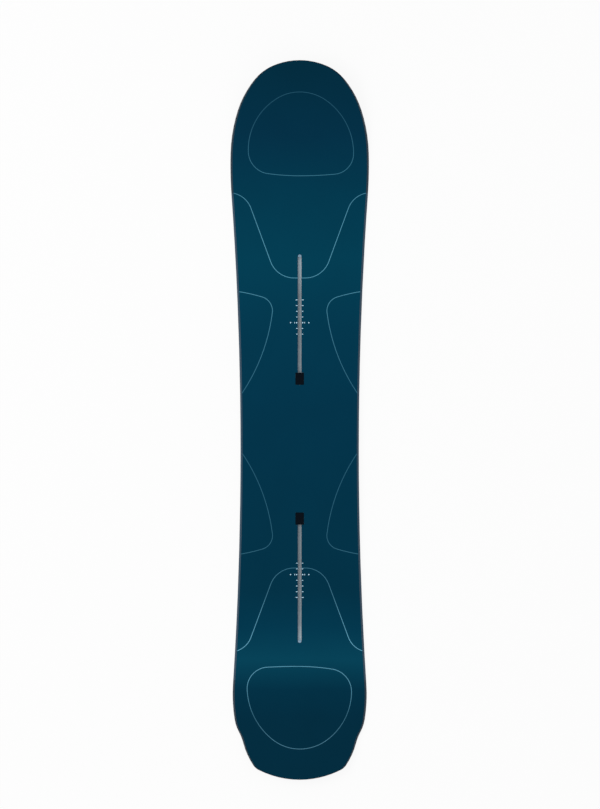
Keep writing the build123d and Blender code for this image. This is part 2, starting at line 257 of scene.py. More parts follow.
@dataclass(frozen=True)
class Pattern:
    """What varies over a finish: its colour, and the values that its roughness and relief follow."""

    colour: Socket
    sheen: Socket
    relief: Socket


@dataclass(frozen=True)
class Finish:
    """A finish that the part's pieces share.

    Its colour may change along the board in bands. Contrast is the share by which its pattern darkens
    and lightens the colour, and relief is the height of its pattern in metres.
    """

    name: str
    colour: Colour = grey(1.0)
    bands: Bands = ()
    contrast: float = 0.1
    roughness: Pair = (0.4, 0.6)
    relief: float = 0.00002
    specular: float = 0.3
    metallic: float = 0.0

    def pattern(self, coat: Coat) -> Pattern:
        """The finish's own pattern. Each kind of finish has one."""
        raise NotImplementedError

    @cached_property
    def material(self) -> bpy.types.Material:
        """The finish's material, made once.

        Returns:
            The material.
        """
        coat = Coat(self.name)
        pattern = self.pattern(coat)
        low, high = self.roughness
        sheen = coat.add("ShaderNodeMapRange", {"Value": pattern.sheen, "To Min": low, "To Max": high})
        raised = {"Height": pattern.relief, "Strength": 1.0, "Distance": self.relief}
        bump = coat.add("ShaderNodeBump", raised)
        inputs = {
            "Base Color": pattern.colour,
            "Roughness": sheen.outputs["Result"],
            "Normal": bump.outputs["Normal"],
            "Specular IOR Level": self.specular,
            "Metallic": self.metallic,
        }
        for name, value in inputs.items():
            coat.feed(coat.shader.inputs[name], value)
        return coat.material


@dataclass(frozen=True)
class SatinPrint(Finish):
    """Print under a satin topsheet, faintly clouded. Scales are in features per metre."""

    contrast: float = 0.06
    roughness: Pair = (0.36, 0.44)
    relief: float = 0.000004
    specular: float = 0.02
    speck_scale: float = 900.0
    cloud_scale: float = 9.0
    cloud_shade: float = 0.95
    cloud_span: Pair = (0.3, 0.7)
    sheen_scale: float = 60.0
    skin_scale: float = 2600.0

    def pattern(self, coat: Coat) -> Pattern:
        """Bands of colour along the board, print with painted sheen in them, or else faint specks, under
        a cloud, and a satin that varies a little.

        Args:
            coat: the nodes that it is drawn in.

        Returns:
            The pattern.
        """
        if self.bands:
            colour = coat.along(self.bands)
        else:
            colour = coat.mottle(self.colour, self.contrast, coat.noise(self.speck_scale))
        shades = tuple(zip(self.cloud_span, (grey(self.cloud_shade), grey(1.0))))
        cloud = coat.ramp(coat.noise(self.cloud_scale, detail=3.0), shades)
        sheen = coat.noise(self.sheen_scale, detail=4.0)
        return Pattern(coat.times(colour, cloud), sheen, coat.noise(self.skin_scale, detail=1.0))


@dataclass(frozen=True)
class MouldedPlastic(Finish):
    """Injection moulded plastic with a fine spark-eroded grain. Scales are in features per metre."""

    contrast: float = 0.08
    cloud_scale: float = 40.0
    grain_scale: float = 1500.0

    def pattern(self, coat: Coat) -> Pattern:
        """A faint cloud in the colour, darker or lighter along the board, and the grain.

        Args:
            coat: the nodes that it is drawn in.

        Returns:
            The pattern.
        """
        colour = coat.mottle(self.colour, self.contrast, coat.noise(self.cloud_scale, detail=3.0))
        if self.bands:
            colour = coat.times(colour, coat.along(self.bands))
        grain = coat.noise(self.grain_scale, detail=3.0)
        return Pattern(colour, grain, grain)


@dataclass(frozen=True)
class MilledPlastic(Finish):
    """Sidewall plastic with the lengthwise marks of the router and the scraper."""

    contrast: float = 0.14
    roughness: Pair = (0.42, 0.6)
    relief: float = 0.00003
    mark_scale: float = 700.0

    def pattern(self, coat: Coat) -> Pattern:
        """The same fine marks in colour, roughness and relief."""
        marks = coat.noise(self.mark_scale, detail=4.0, way=Direction.LENGTHWISE)
        return Pattern(coat.mottle(self.colour, self.contrast, marks), marks, marks)


@dataclass(frozen=True)
class SinteredBase(Finish):
    """Carbon-black sintered running surface, stone ground along the board."""

    contrast: float = 0.25
    roughness: Pair = (0.34, 0.52)
    specular: float = 0.4
    wax_scale: float = 14.0
    groove_scale: float = 1400.0

    def pattern(self, coat: Coat) -> Pattern:
        """A faint cloud of wax, and fine lengthwise grooves.

        Args:
            coat: the nodes that it is drawn in.

        Returns:
            The pattern.
        """
        grooves = coat.noise(self.groove_scale, detail=3.0, way=Direction.LENGTHWISE)
        wax = coat.noise(self.wax_scale, detail=4.0)
        return Pattern(coat.mottle(self.colour, self.contrast, wax), grooves, grooves)


@dataclass(frozen=True)
class GroundSteel(Finish):
    """Steel edge, ground along its length."""

    roughness: Pair = (0.28, 0.48)
    relief: float = 0.000006
    specular: float = 0.5
    metallic: float = 1.0
    mark_scale: float = 3000.0

    def pattern(self, coat: Coat) -> Pattern:
        """The same grinding marks in colour, roughness and relief."""
        marks = coat.noise(self.mark_scale, detail=3.0, way=Direction.LENGTHWISE)
        return Pattern(coat.mottle(self.colour, self.contrast, marks), marks, marks)


@dataclass(frozen=True)
class PlanedWood(Finish):
    """Planed core wood with its grain along the board."""

    contrast: float = 0.2
    roughness: Pair = (0.55, 0.75)
    relief: float = 0.00005
    specular: float = 0.25
    ring_spacing: float = 0.006
    ring_wander: float = 3.0
    pore_scale: float = 900.0

    def pattern(self, coat: Coat) -> Pattern:
        """Annual rings seen edge on in the colour, and pores in roughness and relief.

        Args:
            coat: the nodes that it is drawn in.

        Returns:
            The pattern.
        """
        way = coat.placed(Direction.GRAIN)
        rings = coat.stripes(self.ring_spacing, "X", way, Distortion=self.ring_wander, Detail=3.0)
        pores = coat.noise(self.pore_scale, detail=3.0, way=Direction.LENGTHWISE)
        return Pattern(coat.mottle(self.colour, self.contrast, rings), pores, pores)


@dataclass(frozen=True)
class WovenLaminate(Finish):
    """Cured glass cloth in resin, with its weave showing."""

    contrast: float = 0.15
    roughness: Pair = (0.25, 0.4)
    relief: float = 0.00004
    specular: float = 0.5
    tow_spacing: float = 0.0018
    resin_scale: float = 80.0

    def pattern(self, coat: Coat) -> Pattern:
        """Two crossed sets of tows in colour and relief, and a varying gloss of resin.

        Args:
            coat: the nodes that it is drawn in.

        Returns:
            The pattern.
        """
        warp, weft = (coat.stripes(self.tow_spacing, axis, coat.coordinates) for axis in ("X", "Y"))
        weave = coat.combined("MULTIPLY", warp, weft)
        resin = coat.noise(self.resin_scale, detail=3.0)
        return Pattern(coat.mottle(self.colour, self.contrast, weave), resin, weave)


DECK_END = shade(0, 45, 64)
# The ends hold the print's own deep teal. Everything lighter between them, most round -0.53 and +0.36
# along the board, is painted sheen: the gleam of the satin topsheet under the light, painted into its
# colour.
TOPSHEET = SatinPrint(
    "printed_topsheet",
    bands=(
        (-0.80, DECK_END),
        (-0.66, shade(0, 46, 66)),
        (-0.60, shade(0, 50, 71)),
        (-0.532, shade(4, 68, 90)),
        (-0.46, shade(0, 57, 80)),
        (-0.38, shade(0, 51, 72)),
        (0.02, shade(0, 53, 76)),
        (0.20, shade(0, 57, 80)),
        (0.355, shade(0, 63, 85)),
        (0.50, shade(0, 58, 80)),
        (0.635, shade(1, 49, 72)),
        (0.80, DECK_END),
    ),
)
# The bands change the ink's colour along the board, lightest round -0.49 and +0.36 where the deck's
# sheen is: painted sheen on the ink, the same gleam of the satin topsheet as on the deck.
LINE_INK_AND_SHEEN = SatinPrint(
    "line_ink_and_painted_sheen",
    bands=(
        (-0.80, shade(74, 126, 149)),
        (-0.715, shade(74, 126, 149)),
        (-0.66, shade(54, 105, 127)),
        (-0.59, shade(87, 151, 176)),
        (-0.49, shade(102, 174, 201)),
        (-0.39, shade(64, 121, 145)),
        (-0.26, shade(46, 101, 124)),
        (0.00, shade(43, 98, 122)),
        (0.20, shade(62, 125, 150)),
        (0.36, shade(86, 158, 183)),
        (0.46, shade(82, 151, 176)),
        (0.55, shade(55, 116, 140)),
        (0.66, shade(37, 88, 111)),
        (0.80, shade(35, 83, 105)),
    ),
)
MARK_INK = SatinPrint("mark_ink", shade(192, 232, 252))
SINTERED_BASE = SinteredBase("sintered_base", shade(20, 22, 25))
EDGE_STEEL = GroundSteel("edge_steel", shade(178, 180, 184))
DAMPING_FOIL = MouldedPlastic("damping_foil", shade(22, 22, 23), roughness=(0.64, 0.76))
LAMINATE = WovenLaminate("glass_laminate", shade(70, 86, 94))
LIGHT_WOOD = PlanedWood("light_wood", shade(202, 176, 134))
HARD_WOOD = PlanedWood("hard_wood", shade(176, 132, 92), ring_spacing=0.003)
SIDEWALL = MilledPlastic("sidewall_plastic", shade(38, 66, 86))
FILLER = MilledPlastic("filler_plastic", shade(24, 44, 58))
CHANNEL = MouldedPlastic(
    "channel_plastic",
    shade(196, 212, 220),
    roughness=(0.39, 0.51),
    # The bands lighten the rail towards each channel's outer end, at -0.50 and +0.34 along the board:
    # painted light on the slot's floor, over the plastic's own colour.
    bands=(
        (-0.50, shade(255, 255, 255)),
        (-0.45, shade(203, 202, 204)),
        (-0.38, shade(195, 194, 196)),
        (0.28, shade(195, 194, 196)),
        (0.34, shade(232, 232, 234)),
    ),
)
END_STOP = MouldedPlastic("end_stop_plastic", shade(124, 154, 176), roughness=(0.24, 0.36))
PLUG = MouldedPlastic("plug_plastic", shade(5, 12, 20), roughness=(0.49, 0.61), specular=0.03)


# ---- Lines that shape the board ----


class Pen:
    """Leads a point or an edge of a mesh along tangent arcs and straight runs in plan.

    The trail is the points of the line that a leading point has drawn, from its start on.
    """

    LEAST_STEPS = 4

    def __init__(
        self, mesh: Mesh, tip: list[Element], place: Vector, heading: float, fineness: float = 3.0
    ) -> None:
        """Set the pen down.

        Args:
            mesh: the mesh that is drawn on.
            tip: the point, or the points and edges, that it leads.
            place: where it starts.
            heading: its direction, in degrees from +X towards +Y.
            fineness: the turn in degrees that one straight piece of an arc may stand for.
        """
        self.fineness = fineness
        self.mesh = mesh
        self.tip = list(tip)
        self.place = Vector(place)
        self.heading = math.radians(heading)
        self.trail: list[Point] = [self.tip[0]]
        self.passed = {*self.tip, *(e.other_vert(self.tip[0]) for e in self.tip[0].link_edges)}

    @classmethod
    def broad(cls, mesh: Mesh, width: float, start: Pair, heading: float, fineness: float) -> "Pen":
        """Set down a pen whose tip is an edge across its way, so that it draws a band.

        Args:
            mesh: the mesh that is drawn on.
            width: the band's width.
            start: x and y of where the band starts.
            heading: its direction, in degrees from +X towards +Y.
            fineness: the turn in degrees that one straight piece of an arc may stand for.

        Returns:
            The pen.
        """
        place = Vector((*start, 0))
        aside = Matrix.Rotation(math.radians(heading + 90), 3, "Z") @ Vector((width / 2, 0, 0))
        ends = [mesh.verts.new(place - aside), mesh.verts.new(place + aside)]
        return cls(mesh, [*ends, mesh.edges.new(ends)], place, heading, fineness)

    def follow(self, steps: Iterable["Step"], hand: int = 1) -> None:
        """Draw steps one after the other, or their mirror image where hand is -1."""
        for step in steps:
            step.draw(self, hand)

    def arc(self, radius: float, turn: float) -> None:
        """Go round an arc.

        Args:
            radius: the arc's radius.
            turn: its angle in degrees, to the left, or to the right if negative.
        """
        angle = math.radians(turn)
        side = Vector((-math.sin(self.heading), math.cos(self.heading), 0)) * math.copysign(1, turn)
        centre = self.place + side * radius
        steps = max(self.LEAST_STEPS, math.ceil(abs(turn) / self.fineness))
        self._spin(cent=centre, angle=angle, dvec=(0, 0, 0), steps=steps)
        self.place = centre + Matrix.Rotation(angle, 3, "Z") @ (self.place - centre)
        self.heading += angle

    def run(self, length: float) -> None:
        """Go straight ahead.

        Args:
            length: how far.
        """
        ahead = Vector((math.cos(self.heading), math.sin(self.heading), 0)) * length
        self._spin(cent=self.place, angle=0.0, dvec=ahead, steps=1)
        self.place += ahead

    def corner(self, turn: float) -> None:
        """Turn left on the spot by so many degrees, or right if negative."""
        self.heading += math.radians(turn)

    def _spin(self, **settings: object) -> None:
        """Spin the tip on, and keep the points that a leading point leaves behind.

        Args:
            settings: the spin's own settings.
        """
        made = bmesh.ops.spin(self.mesh, geom=self.tip, axis=UP, use_duplicate=False, **settings)
        self.tip = made["geom_last"]
        while len(self.tip) == 1 and self.trail[-1] != self.tip[0]:
            ahead = [e.other_vert(self.trail[-1]) for e in self.trail[-1].link_edges]
            self.trail.append(next(v for v in ahead if v not in self.passed))
            self.passed.add(self.trail[-1])


class Step:
    """A step of a line that a pen draws."""

    def draw(self, pen: Pen, hand: int) -> None:
        """Draw it, or its mirror image where hand is -1. Each kind of step does it its own way."""
        raise NotImplementedError


@dataclass(frozen=True)
class Arc(Step):
    """An arc, turning left by its turn in degrees, or right if negative."""

    radius: float
    turn: float

    def draw(self, pen: Pen, hand: int) -> None:
        """Draw it with the pen, or its mirror image where hand is -1."""
        pen.arc(self.radius, self.turn * hand)


@dataclass(frozen=True)
class Run(Step):
    """Straight ahead for its length."""

    length: float

    def draw(self, pen: Pen, hand: int) -> None:
        """Draw it with the pen. Its mirror image is the same."""
        pen.run(self.length)


@dataclass(frozen=True)
class Corner(Step):
    """A turn on the spot, left in degrees, or right if negative."""

    turn: float

    def draw(self, pen: Pen, hand: int) -> None:
        """Turn the pen, or turn it the other way where hand is -1."""
        pen.corner(self.turn * hand)


@dataclass(frozen=True)
class EndPlan:
    """Plan of one end of the board: tangent arcs from the sidecut round to the centreline at the tip.

    Its length is measured from the tip to the sidecut. A heading is the turn from the board's long axis
    towards its centreline. The two radii that are None are worked out so that the arcs reach the tip.
    """

    way: Way
    length: float
    headings: tuple[float, ...]
    radii: tuple[float | None, ...]

    def chain(self, heading: float, inset: float, inward: float, forward: float) -> list[Arc]:
        """The end's arcs, drawn up its right side.

        Args:
            heading: the heading at the sidecut's end, in degrees.
            inset: how far inside the board's own outline the arcs lie.
            inward: how far they go towards the centreline.
            forward: how far they go along the board.

        Returns:
            The arcs, from the sidecut on.
        """
        headings = (heading, *self.headings)
        radii = []
        open_arcs = []
        for radius, (start, end) in zip(self.radii, pairwise(map(math.radians, headings))):
            turn = math.copysign(1, end - start)
            # How far the arc goes inwards and on for each metre of its radius.
            step_in = turn * (math.cos(start) - math.cos(end))
            step_on = turn * (math.sin(end) - math.sin(start))
            if radius is None:
                open_arcs.append((len(radii), step_in, step_on))
                radii.append(0.0)
            else:
                radii.append(radius - turn * inset)
                inward -= radii[-1] * step_in
                forward -= radii[-1] * step_on
        # The two open radii make up what the given ones leave.
        places, steps_in, steps_on = zip(*open_arcs)
        for i, radius in zip(places, np.linalg.solve((steps_in, steps_on), (inward, forward))):
            radii[i] = float(radius)
        return [Arc(radius, end - start) for radius, (start, end) in zip(radii, pairwise(headings))]


@dataclass(frozen=True)
class BoardOutline:
    """Plan of the board: a sidecut arc on each side and a chain of tangent arcs round each end."""

    length: float = 1.600
    waist_width: float = 0.2634
    waist_y: float = -0.068
    sidecut_radius: float = 8.036
    nose: EndPlan = EndPlan(
        Way.NOSE,
        length=0.300,
        headings=(1.6, 18.0, 40.0, 67.0, 90.0),
        radii=(0.960, None, 0.208, 0.106, None),
    )
    tail: EndPlan = EndPlan(
        Way.TAIL,
        length=0.213,
        headings=(9.0, 28.4, 14.7, 33.9, 63.2, 90.0),
        radii=(None, 0.083, 0.116, 0.162, 0.0315, None),
    )
    sidecut_fineness: float = 0.06
    end_fineness: float = 0.75

    def edge_x(self, y: float, inset: float) -> float:
        """Half the board's width within the sidecut.

        Args:
            y: the place along the board.
            inset: how far inside the board's own outline the width is measured.

        Returns:
            The distance from the centreline.
        """
        radius = self.sidecut_radius + inset
        centre = self.waist_width / 2 + self.sidecut_radius
        return centre - math.sqrt(radius * radius - (y - self.waist_y) ** 2)

    def end_line(
        self, end: EndPlan, side_inset: float, end_inset: float
    ) -> tuple[Vector, float, list[Arc]]:
        """The right half of the outline round one end.

        Args:
            end: the end of the board.
            side_inset: how far inside the board's sides the line lies.
            end_inset: how far inside its tips.

        Returns:
            Where it starts on the sidecut, its heading there in degrees, and its arcs.
        """
        y = end.way * (self.length / 2 - end.length)
        radius = self.sidecut_radius + side_inset
        slant = -math.asin(end.way * (y - self.waist_y) / self.sidecut_radius)
        x = self.waist_width / 2 + self.sidecut_radius - radius * math.cos(slant)
        start = Vector((x, self.waist_y - end.way * radius * math.sin(slant), 0))
        heading = math.degrees(slant)
        reach = self.length / 2 - end_inset - end.way * start.y
        return start, heading, end.chain(heading, side_inset, start.x, reach)

    def draw(self, mesh: Mesh, side_inset: float, end_inset: float) -> list[Point]:
        """Draw the outline in a mesh, moved inwards at its sides and tips.

        Args:
            mesh: the mesh that is drawn on.
            side_inset: how far inside the board's sides the line lies.
            end_inset: how far inside its tips.

        Returns:
            The loop's points in order, up the right side and down the left.
        """
        _, nose_heading, nose_arcs = self.end_line(self.nose, side_inset, end_inset)
        corner, tail_heading, tail_arcs = self.end_line(self.tail, side_inset, end_inset)
        halves = []
        for hand in (1, -1):
            start = corner * Vector((hand, 1, 1))
            point = mesh.verts.new(start)
            side = Pen(mesh, [point], start, 90 - tail_heading * hand, self.sidecut_fineness)
            side.arc(self.sidecut_radius + side_inset, (nose_heading + tail_heading) * hand)
            side.fineness = self.end_fineness
            side.follow(nose_arcs, hand)
            end = Pen(mesh, [point], start, -90 - tail_heading * hand, self.end_fineness)
            end.follow(tail_arcs, -hand)
            halves.append(end.trail[::-1] + side.trail[1:])
        right, left = halves
        bmesh.ops.weld_verts(mesh, targetmap={left[0]: right[0], left[-1]: right[-1]})
        return right + left[-2:0:-1]


@dataclass(frozen=True)
class Level:
    """A height over the ground that changes along the board."""

    y: np.ndarray
    z: np.ndarray

    def at(self, y: float) -> float:
        """The height at y."""
        return float(np.interp(y, self.y, self.z))

    def raised(self, amount: float) -> "Level":
        """The same level moved up by this much."""
        return Level(self.y, self.z + amount)


@dataclass(frozen=True)
class EndProfile:
    """One end of the running surface: the rise beyond the flat under the foot, then the kick.

    The rise ends at its heading, in degrees from level.
    """

    way: Way
    rise_radius: float
    rise_heading: float
    kick_radius: float


@dataclass(frozen=True)
class SideProfile:
    """Side view of the board: camber, a flat under each foot, early rise and kick at each end.

    The line is drawn past both tips by the margin, so that every layer lies within it.
    """

    length: float = 1.600
    camber_height: float = 0.005
    camber_centre_y: float = -0.0635
    camber_run: float = 0.1232
    flat_run: float = 0.333
    thickness: float = 0.010
    tip_thickness: float = 0.0048
    margin: float = 0.012
    nose: EndProfile = EndProfile(Way.NOSE, rise_radius=5.200, rise_heading=0.9, kick_radius=0.700)
    tail: EndProfile = EndProfile(Way.TAIL, rise_radius=4.000, rise_heading=0.9, kick_radius=0.720)
    stations: int = 36
    least_bend: float = 1e-6
    cut_margin: float = 0.001

    def _half(self, end: EndProfile) -> np.ndarray:
        """The running surface from mid camber to past one tip.

        Args:
            end: the end of the board that it runs to.

        Returns:
            One row for each station: y, z, heading in radians, and thickness.
        """
        # The flat slopes down just so much that the rise touches the ground.
        run = self.camber_run / 2 + self.flat_run
        climb = math.sqrt(run * run + 2 * end.rise_radius * self.camber_height) - run
        slope = climb / end.rise_radius
        rise = math.radians(end.rise_heading)
        rise_run = end.rise_radius * (math.sin(rise) + math.sin(slope))
        camber_radius = self.camber_run / math.sin(slope)
        reach = self.length / 2 + self.margin - end.way * self.camber_centre_y
        kick_run = reach - self.camber_run - self.flat_run - rise_run
        kick = math.asin(math.sin(rise) + kick_run / end.kick_radius)
        y, z = 0.0, self.camber_height
        rows = [(y, z, 0.0)]
        for radius, start, stop in (
            (-camber_radius, 0.0, -slope),
            (None, -slope, -slope),
            (end.rise_radius, -slope, rise),
            (end.kick_radius, rise, kick),
        ):
            y0, z0 = y, z
            for i in range(1, self.stations + 1):
                share = i / self.stations
                heading = start + (stop - start) * share
                if radius is None:
                    y, z = y0 + self.flat_run * share, z0 - self.flat_run * share * math.tan(slope)
                else:
                    y = y0 + radius * (math.sin(heading) - math.sin(start))
                    z = z0 + radius * (math.cos(start) - math.cos(heading))
                rows.append((y, z, heading))
        y, z, heading = np.array(rows).T
        beyond = y - self.camber_run - self.flat_run
        share = np.clip(beyond / beyond[-1], 0, 1)
        # The taper starts and ends smoothly.
        taper = share * share * (3 - 2 * share)
        thick = self.thickness + (self.tip_thickness - self.thickness) * taper
        return np.column_stack((end.way * y + self.camber_centre_y, z, end.way * heading, thick))

    @cached_property
    def _line(self) -> np.ndarray:
        """The whole running surface from past the tail to past the nose, with a half's columns."""
        return np.vstack((self._half(self.tail)[::-1], self._half(self.nose)[1:]))

    def _lifted(self, lift: float | np.ndarray) -> Level:
        """The level that lies this far above the running surface, square to it."""
        y, z, heading, _ = self._line.T
        return Level(y - lift * np.sin(heading), z + lift * np.cos(heading))

    def above_base(self, height: float) -> Level:
        """The level that lies this high above the running surface."""
        return self._lifted(height)

    def below_deck(self, depth: float) -> Level:
        """The level that lies this deep under the tapering deck."""
        return self._lifted(self._line[:, 3] - depth)

    def cuts(self) -> list[float]:
        """Places along the board where a layer is divided so that it bends smoothly."""
        bends = self._line[1:][np.abs(np.diff(self._line[:, 2])) > self.least_bend]
        return [float(y) for y in bends[:, 0] if abs(y) < self.length / 2 - self.cut_margin]


OUTLINE = BoardOutline()
PROFILE = SideProfile()


# ---- Making pieces ----


def show(name: str, data: bpy.types.ID) -> bpy.types.Object:
    """Add an object to the scene.

    Args:
        name: its name.
        data: its mesh, lamp or camera.

    Returns:
        The object.
    """
    made = bpy.data.objects.new(name, data)
    bpy.context.scene.collection.objects.link(made)
    return made


def poured(name: str, mesh: Mesh) -> bpy.types.Mesh:
    """A finished mesh's data, ready for an object.

    Args:
        name: the data's name.
        mesh: the mesh, which is freed.

    Returns:
        The data.
    """
    data = bpy.data.meshes.new(name)
    mesh.to_mesh(data)
    mesh.free()
    return data


def outward(mesh: Mesh) -> None:
    """Make a closed mesh's faces point outwards."""
    bmesh.ops.recalc_face_normals(mesh, faces=mesh.faces)


def piece(name: str, mesh: Mesh, finish: Finish) -> bpy.types.Object:
    """Make an object of a closed mesh, and let it ride on the board.

    Args:
        name: the object's name.
        mesh: the mesh, which is freed.
        finish: its finish.

    Returns:
        The object.
    """
    outward(mesh)
    data = poured(name, mesh)
    data.polygons.foreach_set("use_smooth", [True] * len(data.polygons))
    data.set_sharp_from_angle(angle=SHARP_ANGLE)
    data.materials.append(finish.material)
    made = show(name, data)
    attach(made, "board")
    LOG.info("%s: %d faces", name, len(data.polygons))
    return made


def dress(node: str, finish: Finish) -> None:
    """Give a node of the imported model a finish, in place of what it came with.

    Args:
        node: the node's name.
        finish: the finish.
    """
    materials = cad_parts[node].data.materials
    materials.clear()
    materials.append(finish.material)
    LOG.info("%s: %s", node, finish.name)


def everything(mesh: Mesh) -> list[Element]:
    """All points, edges and faces of a mesh."""
    return mesh.verts[:] + mesh.edges[:] + mesh.faces[:]


def cut(
    mesh: Mesh, parts: list[Element], place: Vector, way: Vector, clear: bool = False
) -> list[Edge]:
    """Cut a mesh along a plane.

    Args:
        mesh: the mesh.
        parts: the points, edges and faces that are cut.
        place: a point of the plane.
        way: the direction that the plane is square to.
        clear: whether what lies beyond the plane in that direction goes.

    Returns:
        The edges that lie on the plane.
    """
    made = bmesh.ops.bisect_plane(
        mesh, geom=parts, dist=ON_PLANE, plane_co=place, plane_no=way, clear_outer=clear
    )
    return [part for part in made["geom_cut"] if isinstance(part, Edge)]


def clip(mesh: Mesh, points: list[Point], place: Vector, way: Vector) -> None:
    """Cut away what lies beyond a plane.

    Args:
        mesh: the mesh.
        points: the points whose edges and faces are cut.
        place: a point of the plane.
        way: the direction in which things are cut away.
    """
    # These are dictionaries because a set's order differs from run to run.
    edges = dict.fromkeys(e for p in points for e in p.link_edges)
    faces = dict.fromkeys(f for p in points for f in p.link_faces)
    cut(mesh, [*points, *edges, *faces], place, way, clear=True)


def keep_between(mesh: Mesh, axis: Vector, low: float, high: float) -> None:
    """Cut a closed mesh to what lies between two places along an axis, and close it again.

    Args:
        mesh: the closed mesh.
        axis: a unit direction.
        low, high: where it is cut along that direction.
    """
    for place, way in ((low, -1), (high, 1)):
        rim = cut(mesh, everything(mesh), axis * place, axis * way, clear=True)
        bmesh.ops.contextual_create(mesh, geom=rim)


def filled(mesh: Mesh) -> None:
    """Fill the loops of a flat mesh, leaving inner loops open as holes."""
    bmesh.ops.triangle_fill(mesh, edges=mesh.edges[:], use_beauty=True, use_dissolve=False)


def layered(mesh: Mesh, lower: Level, upper: Level) -> None:
    """Make a flat mesh a layer of the board, divided along it so that it bends smoothly.

    Args:
        mesh: flat faces on the ground plane.
        lower: the level of the layer's underside.
        upper: the level of its upper side.
    """
    for y in PROFILE.cuts():
        cut(mesh, everything(mesh), ALONG * y, ALONG)
    underside = mesh.verts[:]
    made = bmesh.ops.extrude_face_region(mesh, geom=mesh.faces[:], use_keep_orig=True)
    top = [part for part in made["geom"] if isinstance(part, Point)]
    for points, level in ((underside, lower), (top, upper)):
        for point in points:
            point.co.z = level.at(point.co.y)


def join(mesh: Mesh, other: Mesh) -> None:
    """Add another mesh to a mesh.

    Args:
        mesh: the mesh that grows.
        other: the mesh that is added, and freed.
    """
    carrier = poured("carrier", other)
    mesh.from_mesh(carrier)
    bpy.data.meshes.remove(carrier)


# ---- The channels ----


@dataclass(frozen=True)
class ChannelPlan:
    """Plan of what is open in the deck over a binding channel.

    It is drawn in the channel's own place, from the stance mark, with its outer end towards +Y.
    """

    name: str
    way: Way
    stance_y: float
    mouth_width: float = 0.0082
    outer_reach: float = 0.152
    plug_outer_reach: float = 0.1112
    plug_width: float = 0.0184
    plug_length: float = 0.0267
    plug_clearance: float = 0.0003
    plug_corner: float = 0.0012

    def put(self, mesh: Mesh, points: list[Point]) -> None:
        """Take what was drawn in the channel's own place to its place on the board.

        Args:
            mesh: the mesh that it was drawn in.
            points: the points that were drawn.
        """
        if self.way is Way.TAIL:
            bmesh.ops.rotate(mesh, verts=points, cent=(0, 0, 0), matrix=Matrix.Rotation(math.pi, 3, "Z"))
        bmesh.ops.translate(mesh, verts=points, vec=ALONG * self.stance_y)

    def draw_opening(self, mesh: Mesh) -> None:
        """Draw the mouth and the hatch as one loop.

        Args:
            mesh: the mesh that is drawn on.
        """
        gap = self.plug_clearance
        radius = self.plug_corner + gap
        half_mouth = self.mouth_width / 2
        half_hatch = self.plug_width / 2 + gap
        hatch_length = self.plug_length + 2 * gap
        inner_y = -self.plug_outer_reach - self.plug_length - gap
        mouth_length = self.outer_reach - half_mouth - (inner_y + hatch_length)
        steps = (
            Run(half_hatch - radius),
            Arc(radius, 90),
            Run(hatch_length - 2 * radius),
            Arc(radius, 90),
            Run(half_hatch - radius - half_mouth),
            Corner(-90),
            Run(mouth_length),
            Arc(half_mouth, 90),
        )
        trails = []
        for hand, heading in ((1, 0), (-1, 180)):
            start = ALONG * inner_y
            pen = Pen(mesh, [mesh.verts.new(start)], start, heading)
            pen.follow(steps, hand)
            trails.append(pen.trail)
        right, left = trails
        bmesh.ops.weld_verts(mesh, targetmap={left[0]: right[0], left[-1]: right[-1]})
        self.put(mesh, right + left[1:-1])


@dataclass(frozen=True)
class Channels:
    """Both binding channels: rail, mat, end stop and plug."""

    plans: tuple[ChannelPlan, ...] = (
        ChannelPlan("front", Way.NOSE, stance_y=0.2167),
        ChannelPlan("rear", Way.TAIL, stance_y=-0.3437),
    )

    def build(self) -> None:
        """Dress the channels' pieces."""
        finishes = {"rail": CHANNEL, "mat": LAMINATE, "end_stop": END_STOP, "plug": PLUG}
        for plan in self.plans:
            for part, finish in finishes.items():
                dress(f"{plan.name}_channel_{part}", finish)


CHANNELS = Channels()


# ---- The laminate ----


